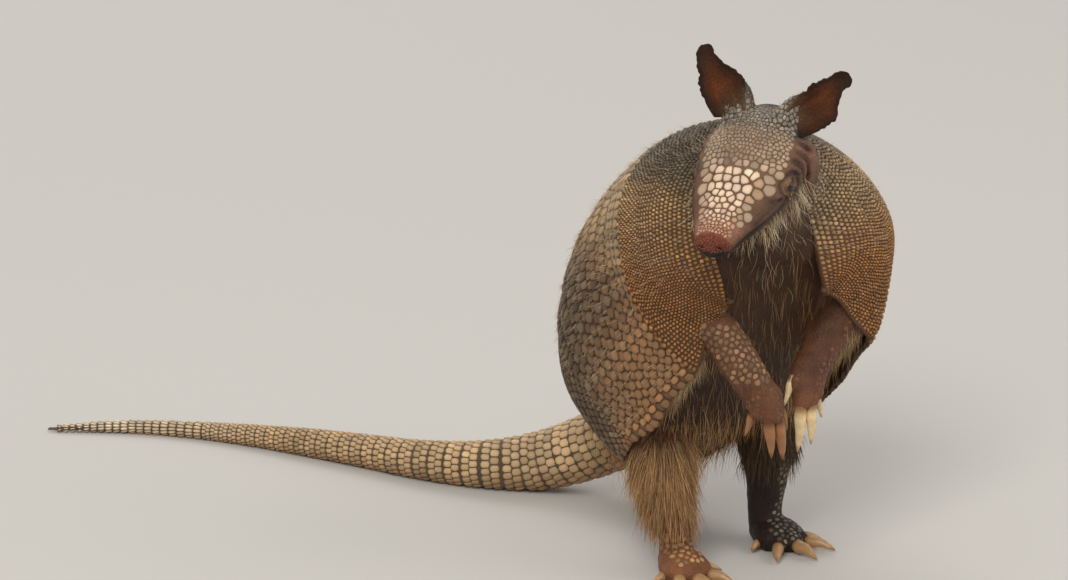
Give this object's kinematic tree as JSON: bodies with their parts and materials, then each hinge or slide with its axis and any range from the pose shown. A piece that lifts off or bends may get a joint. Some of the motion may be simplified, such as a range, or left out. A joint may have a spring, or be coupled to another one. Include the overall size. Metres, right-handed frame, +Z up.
{
  "type": "nine-banded armadillo",
  "caption": "Life-size nine-banded armadillo standing upright on its hind feet, tail laid on the ground, head turned to one side.",
  "frame": {"origin": "middle of the underside of the bounding box, on the ground the soles and the tail rest on", "axes": "+Z up; the trunk faces -Y, so the tail lies toward +Y; the animal's left is +X"},
  "size_m": [0.3666, 0.5044, 0.3275],
  "materials": {
    "carapace": "dry horn over bone, pale beads on an olive brown ground",
    "head_scutes": "dry horn, pale cream on the snout to tan brown on the brow",
    "tail_scutes": "dry horn rings, cream tan with dark seams",
    "face_skin": "bare wrinkled skin with pale bristles",
    "belly_skin": "bare skin with sparse long tan hair",
    "limb_skin": "scaly skin with small pale scutes and long tan hair",
    "ear_skin": "thin pebbled skin",
    "nose_skin": "bare damp granular skin",
    "claw": "smooth horn",
    "eye": "wet and dark"
  },
  "bodies": {
    "root": {"band_1": "carapace", "band_2": "carapace", "band_3": "carapace", "band_4": "carapace", "band_5": "carapace", "band_6": "carapace", "band_7": "carapace", "band_8": "carapace", "band_9": "carapace", "claw_foot_left_1": "claw", "claw_foot_left_2": "claw", "claw_foot_left_3": "claw", "claw_foot_left_4": "claw", "claw_foot_left_5": "claw", "claw_foot_right_1": "claw", "claw_foot_right_2": "claw", "claw_foot_right_3": "claw", "claw_foot_right_4": "claw", "claw_foot_right_5": "claw", "claw_hand_left_1": "claw", "claw_hand_left_2": "claw", "claw_hand_left_3": "claw", "claw_hand_left_4": "claw", "claw_hand_right_1": "claw", "claw_hand_right_2": "claw", "claw_hand_right_3": "claw", "claw_hand_right_4": "claw", "ear_left": "ear_skin", "ear_right": "ear_skin", "eye_left": "eye", "eye_right": "eye", "foot_left": "limb_skin", "foot_right": "limb_skin", "forearm_left": "limb_skin", "forearm_right": "limb_skin", "hand_left": "limb_skin", "hand_right": "limb_skin", "head": "face_skin", "head_shield": "head_scutes", "neck": "face_skin", "nose": "nose_skin", "pelvic_shield": "carapace", "scapular_shield": "carapace", "shin_left": "limb_skin", "shin_right": "limb_skin", "tail_1": "tail_scutes", "tail_2": "tail_scutes", "tail_3": "tail_scutes", "tail_4": "tail_scutes", "tail_5": "tail_scutes", "tail_6": "tail_scutes", "thigh_left": "limb_skin", "thigh_right": "limb_skin", "trunk": "belly_skin", "upper_arm_left": "limb_skin", "upper_arm_right": "limb_skin"}
  },
  "joints": []
}
